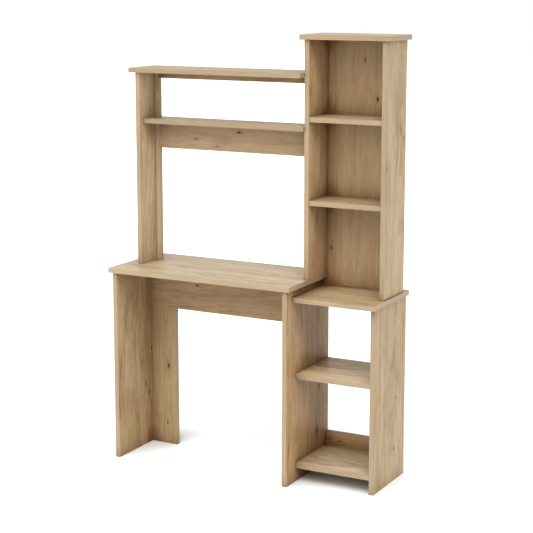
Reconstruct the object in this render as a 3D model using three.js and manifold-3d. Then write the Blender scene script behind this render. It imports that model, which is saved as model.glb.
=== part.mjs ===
// Computer desk with a hutch, a shelf tower and an open cabinet.
// Millimetres, +Z up.
//
// While the desk is being built, x runs right from the left panel leg's outer face,
// y runs back from the desktop's front edge and z runs up from the floor. The last lines
// shift everything, so that the exported group's origin is the middle of its base.

import * as THREE from 'three';
import { mergeVertices } from 'three/addons/utils/BufferGeometryUtils.js';
import Module from 'manifold-3d';

const wasm = await Module();
wasm.setup();

// ---------------------------------------------------------------- driving dimensions

const BOARD = 18;                  // thickness of every board

const DESK_HEIGHT = 750;
const DESK_DEPTH = 360;
const DESK_CLEAR_WIDTH = 710;      // between the two panel legs
const DESKTOP_OVERHANG = 14;       // past each panel leg
const PANEL_SETBACK = 10;          // panel legs behind the desktop's front edge
const MODESTY_FRONT = 250;         // front face of the modesty rail and the rear leg
const MODESTY_HEIGHT = 175;
const REAR_LEG_WIDTH = 114;

const HUTCH_LEFT = 41;             // outer face of the hutch's side
const HUTCH_FRONT = 125;
const HUTCH_DEPTH = 125;
const HUTCH_HEIGHT = 736;          // desktop to the underside of the hutch top
const HUTCH_TOP_OVERHANG = { side: 25, front: 10, back: 45 };
const HUTCH_TOP_RAIL_HEIGHT = 26;
const HUTCH_SHELF_HEIGHT = 544;    // desktop to the shelf's underside
const HUTCH_SHELF_SETBACK = 18;
const HUTCH_SHELF_RAIL_HEIGHT = 119;    // from the shelf's top down
const HUTCH_STILE_WIDTH = 20;      // upright behind the hutch's side, facing forward

const TOWER_HEIGHT = 1640;         // floor to the top of the tower
const TOWER_CLEAR_WIDTH = 284;
const TOWER_FRONT = 153;
const TOWER_DEPTH = 178;
const TOWER_TOP_OVERHANG = { side: 16, front: 10, back: 4 };
const TOWER_SHELF_SETBACK = 3;
const TOWER_SHELVES = { upper: 1328, lower: 1025 };   // floor to each underside

const CABINET_FRONT = 80;
const CABINET_SHELVES = { middle: 394, bottom: 54 };  // floor to each underside
const CABINET_RAIL_HEIGHT = 52;
const MID_BOARD_TOP = 704;
const MID_BOARD_FRONT = 50;
const MID_BOARD_OVERHANG = 8;      // past the cabinet's right side and back

const CAM = { radius: 7.5, depth: 12.5, reach: 34, channel: 7.4, drive: [9, 1.6, 2] };
const BOLT = { thread: 3, shank: 3, neck: 1.9, head: 3.2, into: 10.5 };
const DOWEL = { radius: 4, intoFace: 11, intoEdge: 19, chamfer: 1 };
const HOLE_GAP = 0.3;              // all round a fitting, inside its hole
const HOLE_SPARE = 1;              // past a fitting's end

// ---------------------------------------------------------------- places worked out

const deskUnder = DESK_HEIGHT - BOARD;
const rightLeg = BOARD + DESK_CLEAR_WIDTH;             // left face of the right panel leg
const deskRight = rightLeg + BOARD + DESKTOP_OVERHANG; // right end of the desktop
const modestyBack = MODESTY_FRONT + BOARD;
const modestyBottom = deskUnder - MODESTY_HEIGHT;

const hutchInner = HUTCH_LEFT + BOARD;
const hutchTop = DESK_HEIGHT + HUTCH_HEIGHT;
const hutchBack = HUTCH_FRONT + HUTCH_DEPTH;
const hutchShelfFront = HUTCH_FRONT + HUTCH_SHELF_SETBACK;
const hutchRailFront = hutchBack - BOARD;              // front face of the stile and rails
const hutchStileRight = hutchInner + HUTCH_STILE_WIDTH;
const hutchShelf = DESK_HEIGHT + HUTCH_SHELF_HEIGHT;

const towerLeft = deskRight - BOARD;                   // outer face of the tower's left side
const towerRight = deskRight + TOWER_CLEAR_WIDTH;      // inner face of its right side
const towerBack = TOWER_FRONT + TOWER_DEPTH;
const towerUnder = TOWER_HEIGHT - BOARD;
const backPanelFront = towerBack - BOARD;

const cabinetLeft = rightLeg + BOARD;
const midUnder = MID_BOARD_TOP - BOARD;
const midBoardRight = towerRight + BOARD + MID_BOARD_OVERHANG;

// ---------------------------------------------------------------- materials

function material(color, roughness, metalness) {
  return new THREE.MeshStandardMaterial({ color, roughness, metalness });
}

const oak = () => material(0xcdb08a, 0.6, 0);
const beech = () => material(0xd9bd8f, 0.75, 0);
const zinc = () => material(0xa9abad, 0.4, 0.9);
const steel = () => material(0xb8b6b0, 0.35, 1);

// ---------------------------------------------------------------- solids

function solidOf(geometry) {
  const bare = geometry.clone();
  bare.deleteAttribute('normal');
  bare.deleteAttribute('uv');
  const merged = mergeVertices(bare);
  return new wasm.Manifold(new wasm.Mesh({
    numProp: 3,
    vertProperties: merged.attributes.position.array,
    triVerts: Uint32Array.from(merged.index.array),
  }));
}

function geometryOf(solid) {
  const { vertProperties, triVerts } = solid.getMesh();
  const indexed = new THREE.BufferGeometry();
  indexed.setAttribute('position', new THREE.BufferAttribute(vertProperties, 3));
  indexed.setIndex(new THREE.BufferAttribute(triVerts, 1));
  const flat = indexed.toNonIndexed();
  flat.computeVertexNormals();
  return flat;
}

// A cylinder along +X, from x = start to x = end.
function rod(radius, start, end, sides = 16) {
  const geometry = new THREE.CylinderGeometry(radius, radius, end - start, sides);
  return geometry.rotateZ(-Math.PI / 2).translate((start + end) / 2, 0, 0);
}

// A turned piece along +X. Its profile is a list of [x, radius], from axis to axis.
function turned(profile, sides = 12) {
  const points = profile.map(([x, radius]) => new THREE.Vector2(radius, x));
  return new THREE.LatheGeometry(points, sides).rotateZ(-Math.PI / 2);
}

// A block from one corner to the opposite one.
function block(low, high) {
  const size = high.map((value, i) => value - low[i]);
  const centre = high.map((value, i) => (value + low[i]) / 2);
  return new THREE.BoxGeometry(...size).translate(...centre);
}

// ---------------------------------------------------------------- boards

const desk = new THREE.Group();
const boards = new Map();

// A board between two places on each axis. Joints cut their holes in it afterwards.
function board(name, x, y, z) {
  boards.set(name, { low: [x[0], y[0], z[0]], high: [x[1], y[1], z[1]], cuts: [] });
}

// A board of the standard thickness, from a given place upwards, backwards or rightwards.
const up = (z) => [z, z + BOARD];
const back = up;
const right = up;

function deskBoards() {
  const sideDepth = [PANEL_SETBACK, DESK_DEPTH];
  board('desktop', [-DESKTOP_OVERHANG, deskRight], [0, DESK_DEPTH], up(deskUnder));
  board('desk_left_side', right(0), sideDepth, [0, deskUnder]);
  board('desk_left_rear_leg', [BOARD, BOARD + REAR_LEG_WIDTH], back(MODESTY_FRONT),
    [0, modestyBottom]);
  board('modesty_rail', [BOARD, rightLeg], back(MODESTY_FRONT), [modestyBottom, deskUnder]);
  board('cabinet_left_side', right(rightLeg), sideDepth, [0, deskUnder]);
}

function cabinetBoards() {
  const width = [cabinetLeft, towerRight];
  const depth = [CABINET_FRONT, DESK_DEPTH];
  const railFloor = CABINET_SHELVES.bottom + BOARD;
  board('cabinet_right_side', right(towerRight), depth, [0, midUnder]);
  board('cabinet_shelf', width, depth, up(CABINET_SHELVES.middle));
  board('cabinet_bottom_shelf', width, depth, up(CABINET_SHELVES.bottom));
  board('cabinet_back_rail', width, back(DESK_DEPTH - BOARD),
    [railFloor, railFloor + CABINET_RAIL_HEIGHT]);
  board('mid_board', [cabinetLeft, midBoardRight],
    [MID_BOARD_FRONT, DESK_DEPTH + MID_BOARD_OVERHANG], up(midUnder));
}

function hutchBoards() {
  const betweenUprights = [hutchStileRight, towerLeft];
  const shelfTop = hutchShelf + BOARD;
  const over = HUTCH_TOP_OVERHANG;
  board('hutch_left_side', right(HUTCH_LEFT), [HUTCH_FRONT, hutchBack],
    [DESK_HEIGHT, hutchTop]);
  board('hutch_rear_stile', [hutchInner, hutchStileRight], back(hutchRailFront),
    [DESK_HEIGHT, hutchTop]);
  board('hutch_top_board', [HUTCH_LEFT - over.side, towerLeft],
    [HUTCH_FRONT - over.front, hutchBack + over.back], up(hutchTop));
  board('hutch_top_rail', betweenUprights, back(hutchRailFront),
    [hutchTop - HUTCH_TOP_RAIL_HEIGHT, hutchTop]);
  board('hutch_shelf', [hutchInner, towerLeft], [hutchShelfFront, hutchRailFront],
    up(hutchShelf));
  board('hutch_shelf_rail', betweenUprights, back(hutchRailFront),
    [shelfTop - HUTCH_SHELF_RAIL_HEIGHT, shelfTop]);
}

function towerBoards() {
  const between = [deskRight, towerRight];
  const depth = [TOWER_FRONT, towerBack];
  const over = TOWER_TOP_OVERHANG;
  board('tower_left_side', right(towerLeft), depth, [DESK_HEIGHT, towerUnder]);
  board('tower_right_side', right(towerRight), depth, [MID_BOARD_TOP, towerUnder]);
  board('tower_top_board', [towerLeft - over.side, towerRight + BOARD + over.side],
    [TOWER_FRONT - over.front, towerBack + over.back], up(towerUnder));
  for (const [place, underside] of Object.entries(TOWER_SHELVES)) {
    board(`tower_shelf_${place}`, between,
      [TOWER_FRONT + TOWER_SHELF_SETBACK, backPanelFront], up(underside));
  }
  board('tower_back_panel', [cabinetLeft, towerRight], back(backPanelFront),
    [MID_BOARD_TOP, towerUnder]);
  // The panel is notched round the desktop's end and the tower's left side, so that its
  // foot also closes the gap under the desktop's end.
  boards.get('tower_back_panel').cuts.push(block(
    [cabinetLeft - HOLE_SPARE, backPanelFront - HOLE_SPARE, deskUnder],
    [deskRight, towerBack + HOLE_SPARE, towerUnder + HOLE_SPARE],
  ));
}

// ---------------------------------------------------------------- joints

const AXES = {
  '+x': new THREE.Vector3(1, 0, 0),
  '-x': new THREE.Vector3(-1, 0, 0),
  '+y': new THREE.Vector3(0, 1, 0),
  '-y': new THREE.Vector3(0, -1, 0),
  '+z': new THREE.Vector3(0, 0, 1),
  '-z': new THREE.Vector3(0, 0, -1),
};

// A joint's own frame: its x runs out of the face board and along the edge board.
function jointFrame(at, along, across) {
  const x = AXES[along];
  const z = AXES[across];
  const y = new THREE.Vector3().crossVectors(z, x);
  return new THREE.Matrix4().makeBasis(x, y, z).setPosition(...at);
}

function cut(boardName, geometry, frame) {
  boards.get(boardName).cuts.push(geometry.clone().applyMatrix4(frame));
}

function fitting(name, geometry, frame, finish) {
  const mesh = new THREE.Mesh(geometry, finish);
  mesh.name = name;
  mesh.applyMatrix4(frame);
  desk.add(mesh);
}

function dowelShape() {
  const { radius, intoFace, intoEdge, chamfer } = DOWEL;
  return turned([
    [-intoFace, 0],
    [-intoFace, radius - chamfer],
    [-intoFace + chamfer, radius],
    [intoEdge - chamfer, radius],
    [intoEdge, radius - chamfer],
    [intoEdge, 0],
  ]);
}

// A wooden dowel that stands out of one board's face into another board's edge.
function dowel(name, faceBoard, edgeBoard, at, along) {
  const across = along.endsWith('x') ? '+z' : '+x';
  const frame = jointFrame(at, along, across);
  const hole = rod(DOWEL.radius + HOLE_GAP, -DOWEL.intoFace - HOLE_SPARE,
    DOWEL.intoEdge + HOLE_SPARE);
  cut(faceBoard, hole, frame);
  cut(edgeBoard, hole, frame);
  fitting(`dowel_${name}`, dowelShape(), frame, beech());
}

// The cam lies across the joint: its driven end is flush with the edge board's near face,
// and a channel in it takes the bolt's head, on the board's middle plane.
function camShape() {
  const floor = -BOARD / 2;
  const roof = floor + CAM.depth;
  const half = CAM.channel / 2;
  const [driveLength, driveWidth, driveDepth] = CAM.drive;
  const body = rod(CAM.radius, floor, roof, 24).rotateY(-Math.PI / 2)
    .translate(CAM.reach, 0, 0);
  const channel = block([CAM.reach - CAM.radius - 1, -half, -half],
    [CAM.reach + half, half, roof + 1]);
  let solid = solidOf(body).subtract(solidOf(channel));
  for (const [length, width] of [[driveLength, driveWidth], [driveWidth, driveLength]]) {
    const slot = block([CAM.reach - length / 2, -width / 2, floor - 1],
      [CAM.reach + length / 2, width / 2, floor + driveDepth]);
    solid = solid.subtract(solidOf(slot));
  }
  return geometryOf(solid);
}

function boltShape() {
  const { thread, shank, neck, head, into } = BOLT;
  const camEdge = CAM.reach - CAM.radius;
  return turned([
    [-into, 0],
    [-into, thread - 1],
    [1 - into, thread],
    [0, thread],
    [0, shank],
    [camEdge, shank],
    [camEdge + 1, neck],
    [CAM.reach - 3, neck],
    [CAM.reach - 1.5, head],
    [CAM.reach + 0.5, head],
    [CAM.reach + 2, neck],
    [CAM.reach + 2, 0],
  ]);
}

// A cam lock and its bolt: the bolt screws into one board's face, and the cam in the
// other board pulls it tight. `across` points from the cam's driven end into the board.
function camJoint(name, faceBoard, edgeBoard, at, along, across) {
  const frame = jointFrame(at, along, across);
  const floor = -BOARD / 2;
  const pocket = rod(CAM.radius + HOLE_GAP, floor - HOLE_SPARE,
    floor + CAM.depth + HOLE_GAP, 24).rotateY(-Math.PI / 2).translate(CAM.reach, 0, 0);
  cut(faceBoard, rod(BOLT.thread + HOLE_GAP, -BOLT.into - HOLE_GAP, 1), frame);
  cut(edgeBoard, pocket, frame);
  cut(edgeBoard, rod(BOLT.shank + 3 * HOLE_GAP, -HOLE_SPARE, CAM.reach), frame);
  fitting(`cam_${name}`, camShape(), frame, zinc());
  fitting(`cam_bolt_${name}`, boltShape(), frame, steel());
}

// One cam in the underside of each end of a shelf, at the middle of its depth.
function shelfCams(shelf, leftBoard, rightBoard) {
  const { low, high } = boards.get(shelf);
  const y = (low[1] + high[1]) / 2;
  const z = (low[2] + high[2]) / 2;
  camJoint(`${shelf}_left`, leftBoard, shelf, [low[0], y, z], '+x', '+z');
  camJoint(`${shelf}_right`, rightBoard, shelf, [high[0], y, z], '-x', '+z');
}

function camJoints() {
  const rail = boards.get('modesty_rail');
  const railMiddle = MODESTY_FRONT + BOARD / 2;
  const inset = 130;
  shelfCams('hutch_shelf', 'hutch_left_side', 'tower_left_side');
  shelfCams('tower_shelf_upper', 'tower_left_side', 'tower_right_side');
  shelfCams('tower_shelf_lower', 'tower_left_side', 'tower_right_side');
  shelfCams('cabinet_shelf', 'cabinet_left_side', 'cabinet_right_side');
  shelfCams('cabinet_bottom_shelf', 'cabinet_left_side', 'cabinet_right_side');
  camJoint('mid_board', 'cabinet_left_side', 'mid_board',
    [cabinetLeft, DESK_DEPTH / 2, midUnder + BOARD / 2], '+x', '+z');
  camJoint('modesty_rail_left', 'desktop', 'modesty_rail',
    [rail.low[0] + inset, railMiddle, deskUnder], '-z', '-y');
  camJoint('modesty_rail_right', 'desktop', 'modesty_rail',
    [rail.high[0] - inset, railMiddle, deskUnder], '-z', '-y');
}

function dowelJoints() {
  const half = BOARD / 2;
  const sideFront = PANEL_SETBACK + 50;
  const sideBack = DESK_DEPTH - 50;
  const towerMiddle = (TOWER_FRONT + towerBack) / 2;
  const hutchMiddle = (HUTCH_FRONT + hutchBack) / 2;
  for (const [place, y] of [['front', sideFront], ['back', sideBack]]) {
    dowel(`desktop_left_${place}`, 'desktop', 'desk_left_side', [half, y, deskUnder], '-z');
    dowel(`desktop_right_${place}`, 'desktop', 'cabinet_left_side',
      [rightLeg + half, y, deskUnder], '-z');
  }
  dowel('mid_board', 'mid_board', 'cabinet_right_side',
    [towerRight + half, (CABINET_FRONT + DESK_DEPTH) / 2, midUnder], '-z');
  dowel('rear_leg', 'desk_left_side', 'desk_left_rear_leg',
    [BOARD, MODESTY_FRONT + half, modestyBottom / 2], '+x');
  dowel('hutch_foot', 'desktop', 'hutch_left_side',
    [HUTCH_LEFT + half, hutchMiddle, DESK_HEIGHT], '+z');
  dowel('hutch_top', 'hutch_top_board', 'hutch_left_side',
    [HUTCH_LEFT + half, hutchMiddle, hutchTop], '-z');
  dowel('tower_left_foot', 'desktop', 'tower_left_side',
    [towerLeft + half, towerMiddle, DESK_HEIGHT], '+z');
  dowel('tower_right_foot', 'mid_board', 'tower_right_side',
    [towerRight + half, towerMiddle, MID_BOARD_TOP], '+z');
  dowel('tower_top_left', 'tower_top_board', 'tower_left_side',
    [towerLeft + half, towerMiddle, towerUnder], '-z');
  dowel('tower_top_right', 'tower_top_board', 'tower_right_side',
    [towerRight + half, towerMiddle, towerUnder], '-z');
}

// ---------------------------------------------------------------- the whole desk

// Each board's mesh is built round the board's own centre, with its holes cut.
function addBoards() {
  for (const [name, { low, high, cuts }] of boards) {
    const centre = high.map((value, i) => (value + low[i]) / 2);
    const plain = block(low, high).translate(...centre.map((value) => -value));
    let solid = solidOf(plain);
    for (const hole of cuts) {
      hole.translate(...centre.map((value) => -value));
      solid = solid.subtract(solidOf(hole));
    }
    const mesh = new THREE.Mesh(geometryOf(solid), oak());
    mesh.name = name;
    mesh.position.set(...centre);
    desk.add(mesh);
  }
}

deskBoards();
cabinetBoards();
hutchBoards();
towerBoards();
camJoints();
dowelJoints();
addBoards();

const overallLeft = -DESKTOP_OVERHANG;
const overallRight = towerRight + BOARD + TOWER_TOP_OVERHANG.side;
const overallDepth = DESK_DEPTH + MID_BOARD_OVERHANG;
desk.position.set(-(overallLeft + overallRight) / 2, -overallDepth / 2, 0);

const root = new THREE.Group();
root.add(desk);

export default root;
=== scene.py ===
# Looks for the oak computer desk: board materials, fittings, floor, light and camera.
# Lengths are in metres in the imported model's frame unless a name says mm.

import math

import bpy
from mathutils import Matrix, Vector


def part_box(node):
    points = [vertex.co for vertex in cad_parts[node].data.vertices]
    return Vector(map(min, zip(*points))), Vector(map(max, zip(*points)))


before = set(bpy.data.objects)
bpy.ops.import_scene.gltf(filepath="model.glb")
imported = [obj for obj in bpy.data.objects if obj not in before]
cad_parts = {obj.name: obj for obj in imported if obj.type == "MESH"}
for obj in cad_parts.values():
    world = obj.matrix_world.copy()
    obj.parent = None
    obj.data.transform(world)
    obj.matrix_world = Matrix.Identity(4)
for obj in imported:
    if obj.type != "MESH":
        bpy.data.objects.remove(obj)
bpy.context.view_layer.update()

MM = 0.001

# ------------------------------------------------------------------ driving values

EDGE_ROUNDING = 0.9 * MM        # arris on the boards' banded edges
CAM_ROUNDING = 0.15 * MM        # arris on the cam locks
SHARP_ANGLE = 40                # degrees between faces from which an edge is rounded
WELD_REACH = 0.01 * MM          # corners nearer than this are joined before the rounding
BAND = 1.1 * MM                 # thickness of the edge band, seen at a face's rim
SEAM = 0.25 * MM                # glue line between band and face

OAK_DARK = (0.160, 0.096, 0.043, 1)
OAK_MID = (0.352, 0.244, 0.135, 1)
OAK_LIGHT = (0.468, 0.346, 0.217, 1)
BAND_TONE = (0.342, 0.268, 0.176)
KNOT_RIM = (0.125, 0.064, 0.024, 1)
KNOT_CORE = (0.036, 0.016, 0.007, 1)
SEAM_BROWN = (0.160, 0.098, 0.048, 1)
PINKISH = (1.022, 0.990, 1.008, 1)      # the oak wavers between these two casts
YELLOWISH = (0.985, 1.007, 0.955, 1)
OAK_GLOSS = 0.07

# How much of the oak's colour each mark covers.
BAND_COVER = 0.75
SEAM_COVER = 0.55
PORE_COVER = 0.40
CHECK_COVER = 0.60
HALO_COVER = 0.22               # the grain pushed aside round a knot
RIM_COVER = 0.70
CORE_COVER = 0.92

FIBRE_HEIGHT = 0.03 * MM        # the bump's relief
PORE_DEPTH = 0.09 * MM
KNOT_DEPTH = 0.10 * MM
SEAM_DEPTH = 0.08 * MM
KNOT_PUSH = 0.012               # how far a knot pushes the growth rings aside

PAINTED_CORNER_SHADE = (0.61, 0.52, 0.41, 1)    # painted corner shade: what the oak is multiplied by in a corner
PAINTED_CONTACT_SHADOW = (0.52, 0.42, 0.31, 1)   # painted contact shadow: multiplied in again where two boards meet
CORNER_REACH = 0.08                     # how far from a corner its painted shade reaches
CONTACT_STARTS = 0.42                   # how closed in a place is when the painted contact shadow begins
CONTACT_FULL = 0.58                     # and when it is complete
OCCLUSION_SAMPLES = 8

# The oak's noises: cells per metre along the grain, across it and into the board, then
# detail and roughness. The first three are read along the growth rings.
GRAIN = {
    "belts": ((1.6, 26, 26), 2.0, 0.50),
    "lines": ((6, 130, 40), 4.0, 0.62),
    "late": ((5, 95, 30), 2.0, 0.50),
    "wander": ((1.8, 8, 8), 3.0, 0.50),
    "patch": ((3.5, 13, 13), 3.0, 0.50),
    "fibre": ((20, 290, 290), 3.0, 0.62),
    "checks": ((22, 250, 250), 2.0, 0.50),
    "pores": ((55, 1900, 1900), 1.0, 0.50),
    "cast": ((4, 24, 24), 3.0, 0.50),
}
SWINGS = {"belts": 0.55, "lines": 0.85, "patch": 0.42, "fibre": 0.85}  # pull on the tone
LATE_SWING = -0.16              # the late wood's pull, always towards the dark
MIDDLE_TONE = 0.52              # a plain board's place between the oak's dark and light
WANDER = 0.040                  # how far the growth rings stray from true circles

CAMERA_AZIMUTH = 28.10          # degrees to the right of straight ahead
CAMERA_ELEVATION = 10.12
CAMERA_DISTANCE = 5.4128
CAMERA_AIM = (0.0397, 0.0, 0.8880)
CAMERA_LENS = 98.43             # mm, on a 36 mm sensor
CAMERA_SENSOR = 36.0
CAMERA_RISE = -0.0544           # vertical shift, in frame widths
CAMERA_SEES = 200.0

WORLD_FILL = 0.05               # how bright the white studio is as a fill light
FLOOR_HALF = 30.0
FLOOR_WHITE = 0.80
FLOOR_ROUGHNESS = 0.6
PAINTED_FLOOR_GLOW = 0.45               # the floor's painted glow, as over a lit white sweep
PAINTED_FLOOR_SHADOW_REACH = 0.25        # how near the desk that painted glow fades, leaving a painted shadow
# Sun lights: name, azimuth to the right of straight ahead, elevation, spread, strength.
SUNS = [
    ("left", -50, 40, 40, 1.18),
    ("front", 5, 35, 40, 1.02),
    ("front_right", 45, 40, 40, 0.98),
    ("right", 90, 30, 40, 1.16),
    ("high", 15, 65, 40, 1.35),
    ("key", 45, 40, 10, 0.22),
]


# How a board looks. The pith is the middle of its growth rings: how far across the board it
# lies from the centre line and how deep under the face, in mm, and how fast it goes deeper
# along the board. Tone shifts the oak from its dark to its light figure, contrast strengthens
# the figure, gain brightens it, warmth takes green and blue out of it, band brightens the
# edge band, and shade is how strongly painted shade darkens the corners. Tone, gain, warmth
# and band are partly the board's own colour and partly painted light and shade: a gain above 1
# paints light onto the board, a negative warmth paints a whitish sheen as on the desktop, a
# positive warmth paints the warm cast of shade, and band paints the light and shade on the
# edge band. A knot is (mm along the board from its low end, mm across from its low side,
# radius in mm).
def look(seed, pith, tone=0.0, contrast=1.0, gain=1.0, warmth=0.0, band=1.0, shade=1.0,
         knots=()):
    return {"seed": seed, "pith": pith, "tone": tone, "contrast": contrast, "gain": gain,
            "warmth": warmth, "band": band, "shade": shade, "knots": knots}


BOARDS = {
    "desktop": look(1, (60, 40, 0.050), tone=0.12, contrast=1.50, gain=1.15, warmth=-0.19,
        shade=0.70),
    "desk_left_side": look(2, (-90, 90, 0.020), contrast=1.10, warmth=0.03,
        knots=[(250, 193, 6), (209, 217, 9), (384, 236, 6)]),
    "desk_left_rear_leg": look(3, (90, 60, 0.030), tone=-0.09, contrast=0.70, shade=0.85,
        knots=[(321, 79, 8), (88, 71, 4)]),
    "modesty_rail": look(4, (30, 90, 0.040), contrast=0.75, knots=[(214, 102, 6)]),
    "cabinet_left_side": look(5, (-90, 60, 0.045), tone=0.02, contrast=1.20, warmth=0.17,
        knots=[(317, 269, 8), (152, 254, 12)]),
    "cabinet_right_side": look(6, (30, 60, 0.050), tone=-0.01, warmth=-0.08, band=0.94,
        shade=0.50, knots=[(316, 198, 6), (126, 183, 7), (154, 167, 4)]),
    "cabinet_shelf": look(7, (40, 50, 0.060), tone=0.14, contrast=1.60, gain=1.38, warmth=-0.11,
        band=0.82),
    "cabinet_bottom_shelf": look(8, (-60, 60, 0.060), tone=0.12, contrast=1.60, gain=1.15,
        warmth=-0.12, band=0.82),
    "cabinet_back_rail": look(9, (50, 60, 0.050), tone=0.14, contrast=1.20, gain=1.27,
        warmth=0.08, knots=[(60, 19, 5)]),
    "mid_board": look(10, (70, 60, 0.050), tone=0.13, contrast=1.50, warmth=-0.02),
    "hutch_left_side": look(11, (80, 80, 0.030), tone=0.10, gain=1.13, warmth=-0.05, shade=0.45),
    "hutch_rear_stile": look(22, (40, 80, 0.020), tone=0.12, contrast=0.80, gain=1.24,
        warmth=-0.21, shade=0.35),
    "hutch_top_board": look(12, (-60, 60, 0.040), tone=-0.06, shade=0.60),
    "hutch_top_rail": look(13, (20, 70, 0.030), tone=0.01, warmth=0.04),
    "hutch_shelf": look(14, (40, 60, 0.040), tone=-0.16, warmth=0.08, band=0.97),
    "hutch_shelf_rail": look(15, (-20, 60, 0.040), tone=0.17, contrast=0.80, shade=0.80,
        knots=[(351, 75, 7), (255, 17, 4), (163, 41, 4)]),
    "tower_left_side": look(16, (-70, 80, 0.030), tone=0.13, contrast=1.20, gain=1.08,
        warmth=0.13),
    "tower_right_side": look(17, (50, 70, 0.035), tone=0.04, contrast=1.05, warmth=-0.09,
        band=0.94, shade=0.50, knots=[(473, 9, 5), (599, 134, 6), (261, 164, 5)]),
    "tower_top_board": look(18, (40, 60, 0.050), warmth=-0.06),
    "tower_shelf_upper": look(19, (60, 60, 0.050), tone=0.12, contrast=1.10, warmth=-0.02,
        band=1.05),
    "tower_shelf_lower": look(20, (-50, 60, 0.050), tone=0.02, contrast=1.10),
    "tower_back_panel": look(21, (20, 60, 0.020), tone=0.20, contrast=0.75, warmth=0.09,
        knots=[(840, 161, 4), (702, 212, 8), (143, 31, 5)]),
}
KNOTS_PER_BOARD = 3
NO_KNOT = (-9.0, -9.0, 0.0)     # a centre far off every board, for an unused knot
NO_KNOT_RADIUS = 5.0            # mm
SEED_STEPS = (0.731, 0.317, 0.523)      # how far one seed is from the next in the noises


# ------------------------------------------------------------------ node helpers

class Tree:
    """Adds nodes to one node tree, with values or links for their inputs."""

    def __init__(self, tree):
        self.tree = tree

    def add(self, kind, inputs=None, **settings):
        node = self.tree.nodes.new(kind)
        for name, value in settings.items():
            setattr(node, name, value)
        for key, value in (inputs or {}).items():
            self.feed(node.inputs[key], value)
        return node

    def feed(self, socket, value):
        if isinstance(value, bpy.types.NodeSocket):
            self.tree.links.new(value, socket)
        else:
            socket.default_value = value

    def math(self, operation, *values):
        inputs = dict(enumerate(values))
        return self.add("ShaderNodeMath", inputs, operation=operation).outputs[0]

    def vector(self, operation, *values):
        inputs = dict(enumerate(values))
        return self.add("ShaderNodeVectorMath", inputs, operation=operation).outputs[0]

    def split(self, vector):
        """A vector's three parts."""
        return self.add("ShaderNodeSeparateXYZ", {0: vector}).outputs

    def join(self, x, y, z):
        return self.add("ShaderNodeCombineXYZ", {0: x, 1: y, 2: z}).outputs[0]

    def noise(self, vector, cells, detail=2.0, roughness=0.5):
        """Noise from 0 to 1, with so many cells per metre on each axis."""
        place = self.vector("MULTIPLY", vector, cells)
        inputs = {"Vector": place, "Scale": 1.0, "Detail": detail, "Roughness": roughness}
        return self.add("ShaderNodeTexNoise", inputs).outputs["Fac"]

    def ramp(self, value, stops):
        """A colour ramp of two or more (position, colour) stops."""
        node = self.add("ShaderNodeValToRGB", {"Fac": value})
        elements = node.color_ramp.elements
        while len(elements) < len(stops):
            elements.new(0.5)
        for element, (position, colour) in zip(elements, stops):
            element.position = position
            element.color = colour
        return node.outputs["Color"]

    def mix(self, factor, first, second, blend="MIX"):
        node = self.add("ShaderNodeMix", data_type="RGBA", blend_type=blend)
        self.feed(node.inputs["Factor"], factor)
        self.feed(node.inputs[6], first)
        self.feed(node.inputs[7], second)
        return node.outputs[2]

    def tint(self, colour, by):
        return self.mix(1.0, colour, by, "MULTIPLY")

    def smooth(self, value, low, high, out_low=0.0, out_high=1.0):
        """Goes smoothly from out_low to out_high as value goes from low to high."""
        inputs = {0: value, 1: low, 2: high, 3: out_low, 4: out_high}
        node = self.add("ShaderNodeMapRange", inputs, interpolation_type="SMOOTHSTEP")
        return node.outputs[0]

    def add_scaled(self, total, value, amount):
        return self.math("MULTIPLY_ADD", value, amount, total)

    def length(self, x, y):
        squares = self.math("ADD", self.math("MULTIPLY", x, x), self.math("MULTIPLY", y, y))
        return self.math("SQRT", squares)

    def bump(self, shader, height):
        """Gives a shader relief, from heights in metres."""
        inputs = {"Strength": 1.0, "Distance": 1.0, "Height": height}
        self.feed(shader.inputs["Normal"], self.add("ShaderNodeBump", inputs).outputs[0])


def new_group(name, inputs, outputs):
    """A node group, its Tree and its input sockets. Sockets are given as {name: kind}."""
    group = bpy.data.node_groups.new(name, "ShaderNodeTree")
    kinds = {"float": "NodeSocketFloat", "vector": "NodeSocketVector", "color": "NodeSocketColor"}
    for in_out, sockets in (("INPUT", inputs), ("OUTPUT", outputs)):
        for socket, kind in sockets.items():
            group.interface.new_socket(socket, in_out=in_out, socket_type=kinds[kind])
    tree = Tree(group)
    given = tree.add("NodeGroupInput").outputs
    return group, tree, given


def new_material(name):
    material = bpy.data.materials.new(name)
    material.use_nodes = True
    tree = Tree(material.node_tree)
    shader = material.node_tree.nodes["Principled BSDF"]
    return material, tree, shader


# ------------------------------------------------------------------ oak

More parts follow.
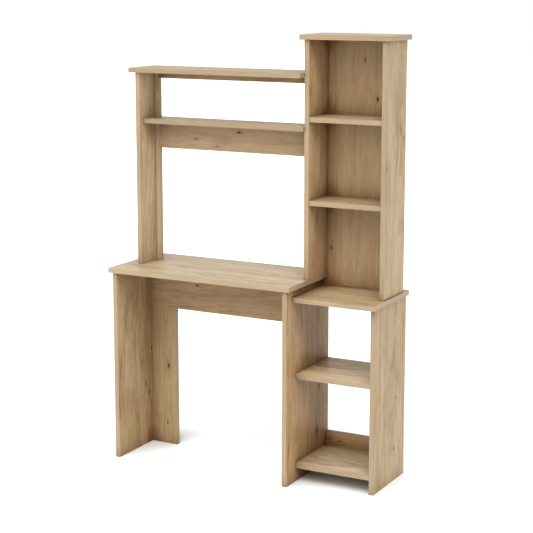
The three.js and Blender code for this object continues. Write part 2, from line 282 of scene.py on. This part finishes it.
def knot_group():
    """One knot: how far the grain is pushed aside, and how dark the knot is, at a place."""
    group, t, given = new_group(
        "knot", {"Place": "vector", "Centre": "vector", "Radius": "float"},
        {"Push": "float", "Rim": "float", "Core": "float"})
    away = t.split(t.vector("SUBTRACT", given["Place"], given["Centre"]))
    along = t.math("DIVIDE", away[0], given["Radius"])
    across = t.math("DIVIDE", away[1], given["Radius"])
    ragged = t.noise(given["Place"], (130, 260, 260), detail=3.0)
    rough_edge = t.math("MULTIPLY_ADD", ragged, 0.6, -0.30)

    def reach(length, width):
        """How far out this place is: 1 on an oval so many radii long and wide."""
        return t.length(t.math("DIVIDE", along, length), t.math("DIVIDE", across, width))

    swirl = t.smooth(reach(9.0, 3.2), 0.0, 1.0, 1.0, 0.0)
    rim = t.smooth(t.math("ADD", reach(1.7, 1.05), rough_edge), 0.30, 1.10, 1.0, 0.0)
    core = t.smooth(t.math("ADD", reach(0.80, 0.70), rough_edge), 0.25, 0.95, 1.0, 0.0)

    # A fine crack runs through the core along the grain, slightly bent.
    bent = t.add_scaled(across, t.math("MULTIPLY", along, along), 0.10)
    crack_width = t.smooth(t.math("ABSOLUTE", along), 0.0, 3.6, 0.18, 0.0)
    off_crack = t.math("SUBTRACT", t.math("ABSOLUTE", bent), crack_width)
    crack = t.smooth(t.add_scaled(off_crack, rough_edge, 0.25), -0.04, 0.12, 1.0, 0.0)
    crack = t.math("MULTIPLY", crack, t.smooth(reach(3.6, 9.0), 0.7, 1.0, 1.0, 0.0))

    result = t.add("NodeGroupOutput")
    t.feed(result.inputs["Push"], swirl)
    t.feed(result.inputs["Rim"], rim)
    t.feed(result.inputs["Core"], t.math("MAXIMUM", core, t.math("MULTIPLY", crack, 0.5)))
    return group


def add_knots(t, given, knot):
    """The outputs of each of the board's knots."""
    knots = []
    for number in range(KNOTS_PER_BOARD):
        node = t.add("ShaderNodeGroup", node_tree=knot)
        t.feed(node.inputs["Place"], given["Place"])
        t.feed(node.inputs["Centre"], given[f"Knot {number}"])
        t.feed(node.inputs["Radius"], given[f"Radius {number}"])
        knots.append(node.outputs)
    return knots


def ring_place(t, given, seeded, knots):
    """A place read along the growth rings: along the board, from the pith, and sideways."""
    parts = t.split(given["Place"])
    pith = t.split(given["Pith"])
    stray = t.math("SUBTRACT", t.noise(seeded, *GRAIN["wander"]), 0.5)
    across = t.add_scaled(t.math("SUBTRACT", parts[1], pith[0]), stray, WANDER)
    depth = t.math("ADD", t.add_scaled(pith[1], parts[0], pith[2]), parts[2])
    rings = t.length(across, depth)
    for knot in knots:
        rings = t.add_scaled(rings, knot["Push"], KNOT_PUSH)
    sideways = t.math("MULTIPLY", parts[1], 0.25)
    return t.vector("ADD", t.join(parts[0], rings, sideways), given["Offset"])


def oak_colour(t, given, grain, pore, knots):
    """The oak's tone from its noises, then its cast, pores, checks and knots."""
    swing = t.math("MULTIPLY", t.smooth(grain["late"], 0.60, 0.74), LATE_SWING)
    for name, amount in SWINGS.items():
        swing = t.add_scaled(swing, t.math("SUBTRACT", grain[name], 0.5), amount)
    tone = t.add_scaled(t.math("ADD", given["Tone"], MIDDLE_TONE), swing, given["Contrast"])
    colour = t.ramp(tone, [(0.08, OAK_DARK), (0.50, OAK_MID), (0.86, OAK_LIGHT)])

    cast = t.mix(t.smooth(grain["cast"], 0.36, 0.64), YELLOWISH, PINKISH)
    colour = t.tint(colour, cast)
    colour = t.mix(t.math("MULTIPLY", pore, PORE_COVER), colour, OAK_DARK)

    # Short dark checks, most of them in the lighter patches.
    in_patch = t.smooth(grain["patch"], 0.60, 0.35, 1.0, 0.1)
    check = t.math("MULTIPLY", t.smooth(grain["checks"], 0.64, 0.75), in_patch)
    colour = t.mix(t.math("MULTIPLY", check, CHECK_COVER), colour, KNOT_RIM)
    for knot in knots:
        for output, cover, brown in (("Push", HALO_COVER, OAK_DARK),
                                     ("Rim", RIM_COVER, KNOT_RIM),
                                     ("Core", CORE_COVER, KNOT_CORE)):
            colour = t.mix(t.math("MULTIPLY", knot[output], cover), colour, brown)
    return colour


def oak_group(knot):
    """Oak seen at a place (along the grain, across it, into the board), in metres.

    Pith is the rings' middle as (its place across, its depth, its slope). The outputs are
    the colour, the roughness and a height in metres for the bump."""
    inputs = {"Place": "vector", "Offset": "vector", "Pith": "vector", "Tone": "float",
              "Contrast": "float"}
    for number in range(KNOTS_PER_BOARD):
        inputs[f"Knot {number}"] = "vector"
        inputs[f"Radius {number}"] = "float"
    group, t, given = new_group(
        "oak", inputs, {"Color": "color", "Roughness": "float", "Height": "float"})

    # The ring noises follow the figure, so that lines swell, fade and run out along it.
    # The others ignore the rings.
    seeded = t.vector("ADD", given["Place"], given["Offset"])
    knots = add_knots(t, given, knot)
    figure = ring_place(t, given, seeded, knots)
    grain = {name: t.noise(figure, *GRAIN[name]) for name in ("belts", "lines", "late")}
    for name in ("patch", "fibre", "checks", "pores", "cast"):
        grain[name] = t.noise(seeded, *GRAIN[name])

    # Open pores: short dark dashes, thickest along the late lines.
    threshold = t.smooth(grain["late"], 0.40, 0.70, 0.70, 0.60)
    pore = t.smooth(t.math("SUBTRACT", grain["pores"], threshold), 0.0, 0.05)

    roughness = t.math("MULTIPLY_ADD", grain["lines"], 0.16, 0.25)
    roughness = t.add_scaled(roughness, pore, 0.12)
    height = t.math("MULTIPLY", grain["fibre"], FIBRE_HEIGHT)
    height = t.add_scaled(height, pore, -PORE_DEPTH)
    for knot_outputs in knots:
        height = t.add_scaled(height, knot_outputs["Core"], -KNOT_DEPTH)
    result = t.add("NodeGroupOutput")
    t.feed(result.inputs["Color"], oak_colour(t, given, grain, pore, knots))
    t.feed(result.inputs["Roughness"], roughness)
    t.feed(result.inputs["Height"], height)
    return group


def edge_marks(t, along, across, half_length, half_width):
    """Where the edge band, the end bands and the glue line are: 1 there and 0 elsewhere."""
    to_end = t.math("SUBTRACT", half_length, t.math("ABSOLUTE", along))
    to_side = t.math("SUBTRACT", half_width, t.math("ABSOLUTE", across))
    to_edge = t.math("MINIMUM", to_end, to_side)
    band = t.math("LESS_THAN", to_edge, BAND)
    end_band = t.math("LESS_THAN", to_end, BAND)
    off_seam = t.math("ABSOLUTE", t.math("SUBTRACT", to_edge, BAND))
    seam = t.math("LESS_THAN", off_seam, SEAM / 2)
    return band, end_band, seam


def board_figure(t, oak, board, place, half_length, half_width):
    """The oak group with one board's own figure and knots."""
    figure = t.add("ShaderNodeGroup", node_tree=oak)
    pith_across, pith_depth, pith_slope = board["pith"]
    t.feed(figure.inputs["Place"], place)
    t.feed(figure.inputs["Offset"], tuple(board["seed"] * step for step in SEED_STEPS))
    t.feed(figure.inputs["Pith"], (pith_across * MM, pith_depth * MM, pith_slope))
    t.feed(figure.inputs["Tone"], board["tone"])
    t.feed(figure.inputs["Contrast"], board["contrast"])
    for number in range(KNOTS_PER_BOARD):
        centre, radius = NO_KNOT, NO_KNOT_RADIUS
        if number < len(board["knots"]):
            knot_along, knot_across, radius = board["knots"][number]
            centre = (knot_along * MM - half_length, knot_across * MM - half_width, 0.0)
        t.feed(figure.inputs[f"Knot {number}"], centre)
        t.feed(figure.inputs[f"Radius {number}"], radius * MM)
    return figure.outputs


def paint_corner_shade(t, colour, shade):
    """Paints shade into the colour towards corners, and a painted contact shadow once more where
    boards meet.
    """
    corner = t.add("ShaderNodeAmbientOcclusion", {"Distance": CORNER_REACH},
                   samples=OCCLUSION_SAMPLES)
    closed = t.math("SUBTRACT", 1.0, corner.outputs["AO"])
    contact_shadow = t.smooth(closed, CONTACT_STARTS, CONTACT_FULL)
    # Painted corner shade first, then the painted contact shadow, both scaled by the board's
    # shade.
    for amount, brown in ((closed, PAINTED_CORNER_SHADE), (contact_shadow, PAINTED_CONTACT_SHADOW)):
        colour = t.mix(t.math("MULTIPLY", amount, shade), colour, t.tint(colour, brown))
    return colour


def board_material(name, oak):
    """One board's own oak: grain along its longest side, banded edges, its own figure."""
    board = BOARDS[name]
    low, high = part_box(name)
    centre = (low + high) / 2
    half = (high - low) / 2
    thin, wide, long = sorted(range(3), key=lambda axis: half[axis])

    material, t, shader = new_material(f"oak_{name}")
    position = t.add("ShaderNodeTexCoord").outputs["Object"]
    axes = t.split(t.vector("SUBTRACT", position, tuple(centre)))
    along, across, into = axes[long], axes[wide], axes[thin]
    band, end_band, seam = edge_marks(t, along, across, half[long], half[wide])

    # A band's grain runs along its own edge.
    face_place = t.join(along, across, into)
    end_place = t.join(across, into, along)
    place = t.add("ShaderNodeMix", {0: end_band, 4: face_place, 5: end_place},
                  data_type="VECTOR").outputs[1]
    figure = board_figure(t, oak, board, place, half[long], half[wide])

    # Gain and warmth: partly the board's own colour, partly painted light, painted sheen and
    # painted shade.
    gain, warmth = board["gain"], board["warmth"]
    colour = t.tint(figure["Color"], (gain, gain * (1 - warmth / 2), gain * (1 - warmth), 1))
    # The band value paints light and shade onto this board's edge band.
    band_tone = tuple(channel * board["band"] for channel in BAND_TONE) + (1,)
    colour = t.mix(t.math("MULTIPLY", band, BAND_COVER), colour, band_tone)
    colour = t.mix(t.math("MULTIPLY", seam, SEAM_COVER), colour, SEAM_BROWN)
    # The colour with painted corner shade and a painted contact shadow where boards meet.
    t.feed(shader.inputs["Base Color"], paint_corner_shade(t, colour, board["shade"]))
    t.feed(shader.inputs["Roughness"], figure["Roughness"])
    t.feed(shader.inputs["Specular IOR Level"], OAK_GLOSS)
    t.bump(shader, t.add_scaled(figure["Height"], seam, -SEAM_DEPTH))
    return material


# ------------------------------------------------------------------ fittings

def cast_zinc():
    """Dull grey die-cast metal with a fine mottle and darker pits."""
    material, t, shader = new_material("cast_zinc")
    position = t.add("ShaderNodeTexCoord").outputs["Object"]
    mottle = t.noise(position, (900, 900, 900), detail=4.0, roughness=0.6)
    blotch = t.noise(position, (160, 160, 160))
    tone = t.add_scaled(t.math("MULTIPLY", mottle, 0.5), blotch, 0.5)
    colour = t.ramp(tone, [(0.25, (0.33, 0.34, 0.35, 1)), (0.75, (0.60, 0.61, 0.62, 1))])
    t.feed(shader.inputs["Base Color"], colour)
    t.feed(shader.inputs["Metallic"], 1.0)
    t.feed(shader.inputs["Roughness"], t.math("MULTIPLY_ADD", mottle, 0.25, 0.32))
    t.bump(shader, t.math("MULTIPLY", mottle, 0.05 * MM))
    return material


def plated_steel():
    """Satin plated steel with a fine bright and dull grain."""
    material, t, shader = new_material("plated_steel")
    position = t.add("ShaderNodeTexCoord").outputs["Object"]
    grain = t.noise(position, (2500, 2500, 2500))
    colour = t.ramp(grain, [(0.3, (0.50, 0.49, 0.46, 1)), (0.7, (0.68, 0.67, 0.63, 1))])
    t.feed(shader.inputs["Base Color"], colour)
    t.feed(shader.inputs["Metallic"], 1.0)
    t.feed(shader.inputs["Roughness"], t.math("MULTIPLY_ADD", grain, 0.2, 0.22))
    return material


def turned_beech():
    """Pale beech with short brown flecks."""
    material, t, shader = new_material("turned_beech")
    position = t.add("ShaderNodeTexCoord").outputs["Object"]
    fleck = t.noise(position, (700, 700, 105), detail=3.0)
    colour = t.ramp(fleck, [(0.35, (0.50, 0.33, 0.19, 1)), (0.6, (0.74, 0.56, 0.36, 1))])
    t.feed(shader.inputs["Base Color"], colour)
    t.feed(shader.inputs["Roughness"], t.math("MULTIPLY_ADD", fleck, 0.2, 0.55))
    t.bump(shader, t.math("MULTIPLY", fleck, 0.05 * MM))
    return material


# ------------------------------------------------------------------ putting them on

def dress(node, material, rounding):
    """Gives a CAD node its material and its fine rounded edges."""
    node.data.materials.clear()
    node.data.materials.append(material)
    weld = node.modifiers.new("weld", "WELD")
    weld.merge_threshold = WELD_REACH
    if rounding:
        bevel = node.modifiers.new("arris", "BEVEL")
        bevel.width = rounding
        bevel.segments = 3
        bevel.limit_method = "ANGLE"
        bevel.angle_limit = math.radians(SHARP_ANGLE)
        bevel.harden_normals = True


def dress_all():
    oak = oak_group(knot_group())
    # The start of a fitting's name, with its material and rounding. A cam bolt's name also
    # starts as a cam's does, so the bolts come first.
    fittings = {
        "cam_bolt_": (plated_steel(), 0),
        "cam_": (cast_zinc(), CAM_ROUNDING),
        "dowel_": (turned_beech(), 0),
    }
    for name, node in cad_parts.items():
        if name in BOARDS:
            dress(node, board_material(name, oak), EDGE_ROUNDING)
        else:
            kind = next(start for start in fittings if name.startswith(start))
            dress(node, *fittings[kind])


# ------------------------------------------------------------------ studio

def floor():
    """A large, plain, pale floor with a painted glow of its own, which fades near the desk into a
    painted shadow.
    """
    half = FLOOR_HALF
    mesh = bpy.data.meshes.new("floor")
    corners = [(-half, -half, 0), (half, -half, 0), (half, half, 0), (-half, half, 0)]
    mesh.from_pydata(corners, [], [(0, 1, 2, 3)])
    obj = bpy.data.objects.new("floor", mesh)
    bpy.context.scene.collection.objects.link(obj)
    material, t, shader = new_material("pale_floor")
    shader.inputs["Base Color"].default_value = (FLOOR_WHITE, FLOOR_WHITE, FLOOR_WHITE, 1)
    shader.inputs["Roughness"].default_value = FLOOR_ROUGHNESS
    shader.inputs["Emission Color"].default_value = (1, 1, 1, 1)
    # The painted glow is full in the open and fades where the desk closes in, as a painted
    # shadow.
    floor_openness = t.add("ShaderNodeAmbientOcclusion", {"Distance": PAINTED_FLOOR_SHADOW_REACH},
                     samples=OCCLUSION_SAMPLES).outputs["AO"]
    t.feed(shader.inputs["Emission Strength"], t.smooth(floor_openness, 0.35, 0.95, 0.0, PAINTED_FLOOR_GLOW))
    mesh.materials.append(material)


def outward(azimuth, elevation):
    """The direction away from the desk at so many degrees to the right and up."""
    a, e = math.radians(azimuth), math.radians(elevation)
    return Vector((math.sin(a) * math.cos(e), -math.cos(a) * math.cos(e), math.sin(e)))


def add_facing(name, data, back):
    """Adds a light or a camera that looks the opposite way to back."""
    obj = bpy.data.objects.new(name, data)
    obj.rotation_euler = back.to_track_quat("Z", "Y").to_euler()
    bpy.context.scene.collection.objects.link(obj)
    return obj


def studio():
    """A white world that only weakly fills shadows, and wide soft suns that light the floor
    evenly."""
    world = bpy.data.worlds.new("studio")
    world.use_nodes = True
    t = Tree(world.node_tree)
    background = world.node_tree.nodes["Background"]
    background.inputs["Color"].default_value = (1.0, 1.0, 1.0, 1)
    diffuse = t.add("ShaderNodeLightPath").outputs["Is Diffuse Ray"]
    t.feed(background.inputs["Strength"], t.smooth(diffuse, 0.0, 1.0, 1.0, WORLD_FILL))
    bpy.context.scene.world = world
    for name, azimuth, elevation, spread, strength in SUNS:
        light = bpy.data.lights.new(name, "SUN")
        light.angle = math.radians(spread)
        light.energy = strength
        add_facing(name, light, outward(azimuth, elevation))
    bpy.context.scene.view_settings.view_transform = "Standard"
    bpy.context.scene.view_settings.look = "None"


def camera():
    back = outward(CAMERA_AZIMUTH, CAMERA_ELEVATION)
    data = bpy.data.cameras.new("camera")
    data.lens = CAMERA_LENS
    data.sensor_width = CAMERA_SENSOR
    data.shift_y = CAMERA_RISE
    data.clip_end = CAMERA_SEES
    obj = add_facing("camera", data, back)
    obj.location = Vector(CAMERA_AIM) + back * CAMERA_DISTANCE
    bpy.context.scene.camera = obj


camera()
dress_all()
floor()
studio()
